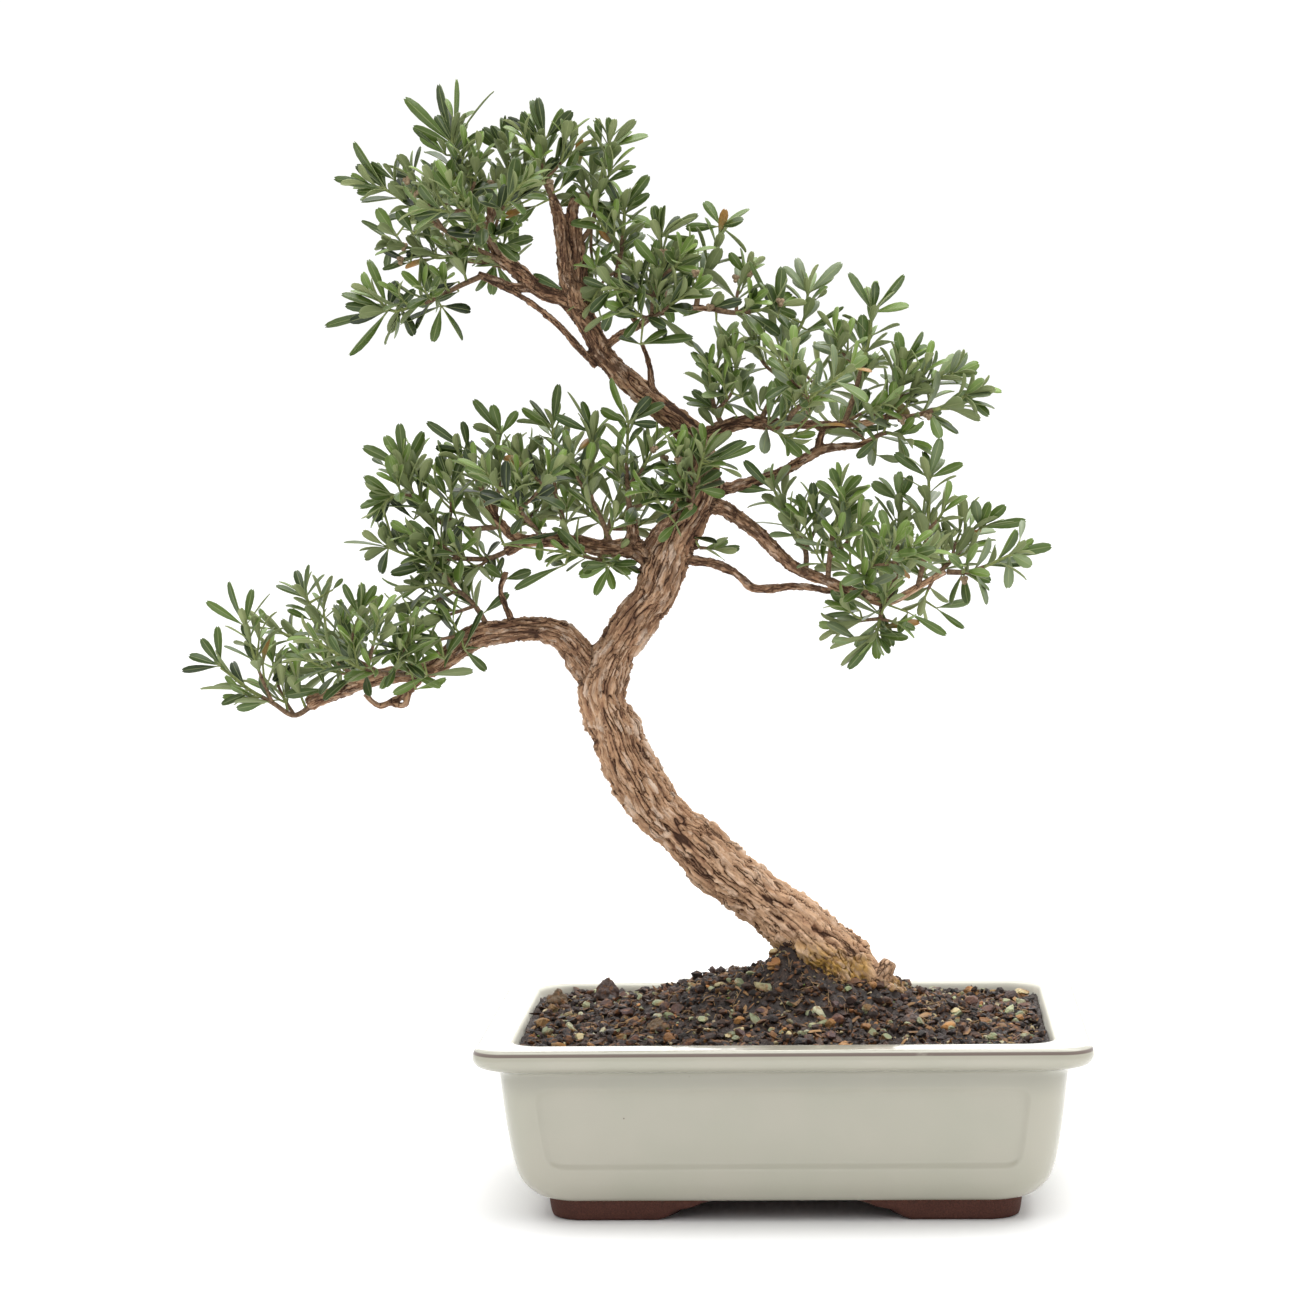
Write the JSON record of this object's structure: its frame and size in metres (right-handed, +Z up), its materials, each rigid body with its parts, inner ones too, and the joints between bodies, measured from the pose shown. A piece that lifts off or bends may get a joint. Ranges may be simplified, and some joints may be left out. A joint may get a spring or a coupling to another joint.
{
  "type": "chinese boxwood bonsai",
  "caption": "Leaning boxwood bonsai with leafy sprays on spreading limbs, in a rectangular cream glazed pot on scalloped clay feet, with gritty soil and screened drainage holes.",
  "frame": {"origin": "under the middle of the whole bonsai, on the surface that the pot stands on", "axes": "+Z up, +Y from the front to the back, +X to the right as seen from the front"},
  "size_m": [0.4516, 0.216, 0.5546],
  "materials": {
    "pot_glaze": "gloss",
    "bare_clay": "matte",
    "bark": "matte",
    "leaf": "satin",
    "soil": "matte",
    "grit": "matte",
    "screen_plastic": "matte",
    "clip_wire": "satin"
  },
  "bodies": {
    "root": {"pot": "pot_glaze", "trunk_and_limbs": "bark", "potting_soil": "soil", "grit_stone_1": "grit", "grit_stone_2": "grit", "grit_stone_3": "grit", "grit_stone_4": "grit", "drainage_screen_left": "screen_plastic", "screen_clip_left": "clip_wire", "drainage_screen_right": "screen_plastic", "screen_clip_right": "clip_wire", "spray_left_low_tip": "leaf", "spray_left_low_upper": "leaf", "spray_left_low_front": "leaf", "spray_left_low_back": "leaf", "spray_left_low_inner": "leaf", "spray_left_mid_tip": "leaf", "spray_left_mid_outer": "leaf", "spray_left_mid_top": "leaf", "spray_left_mid_high": "leaf", "spray_left_mid_inner": "leaf", "spray_left_mid_front": "leaf", "spray_left_mid_back": "leaf", "spray_left_mid_under": "leaf", "spray_centre_left": "leaf", "spray_centre_tall": "leaf", "spray_centre_back": "leaf", "spray_trunk_front": "leaf", "spray_crown_top": "leaf", "spray_crown_left": "leaf", "spray_crown_left_low": "leaf", "spray_crown_corner": "leaf", "spray_crown_mid": "leaf", "spray_crown_high": "leaf", "spray_crown_front": "leaf", "spray_crown_back": "leaf", "spray_peak_right": "leaf", "spray_peak_inner": "leaf", "spray_crown_right": "leaf", "spray_crown_right_tip": "leaf", "spray_crown_right_low": "leaf", "spray_crown_right_back": "leaf", "spray_right_upper_inner": "leaf", "spray_right_upper_rising": "leaf", "spray_right_upper_tall": "leaf", "spray_right_upper_out": "leaf", "spray_right_upper_tip": "leaf", "spray_right_upper_front": "leaf", "spray_right_upper_back": "leaf", "spray_right_under": "leaf", "spray_right_low_inner": "leaf", "spray_right_low_second": "leaf", "spray_right_low_third": "leaf", "spray_right_low_tall": "leaf", "spray_right_low_out": "leaf", "spray_right_low_tip": "leaf", "spray_right_low_bottom": "leaf", "spray_right_low_front": "leaf", "spray_right_low_back": "leaf"}
  },
  "joints": []
}
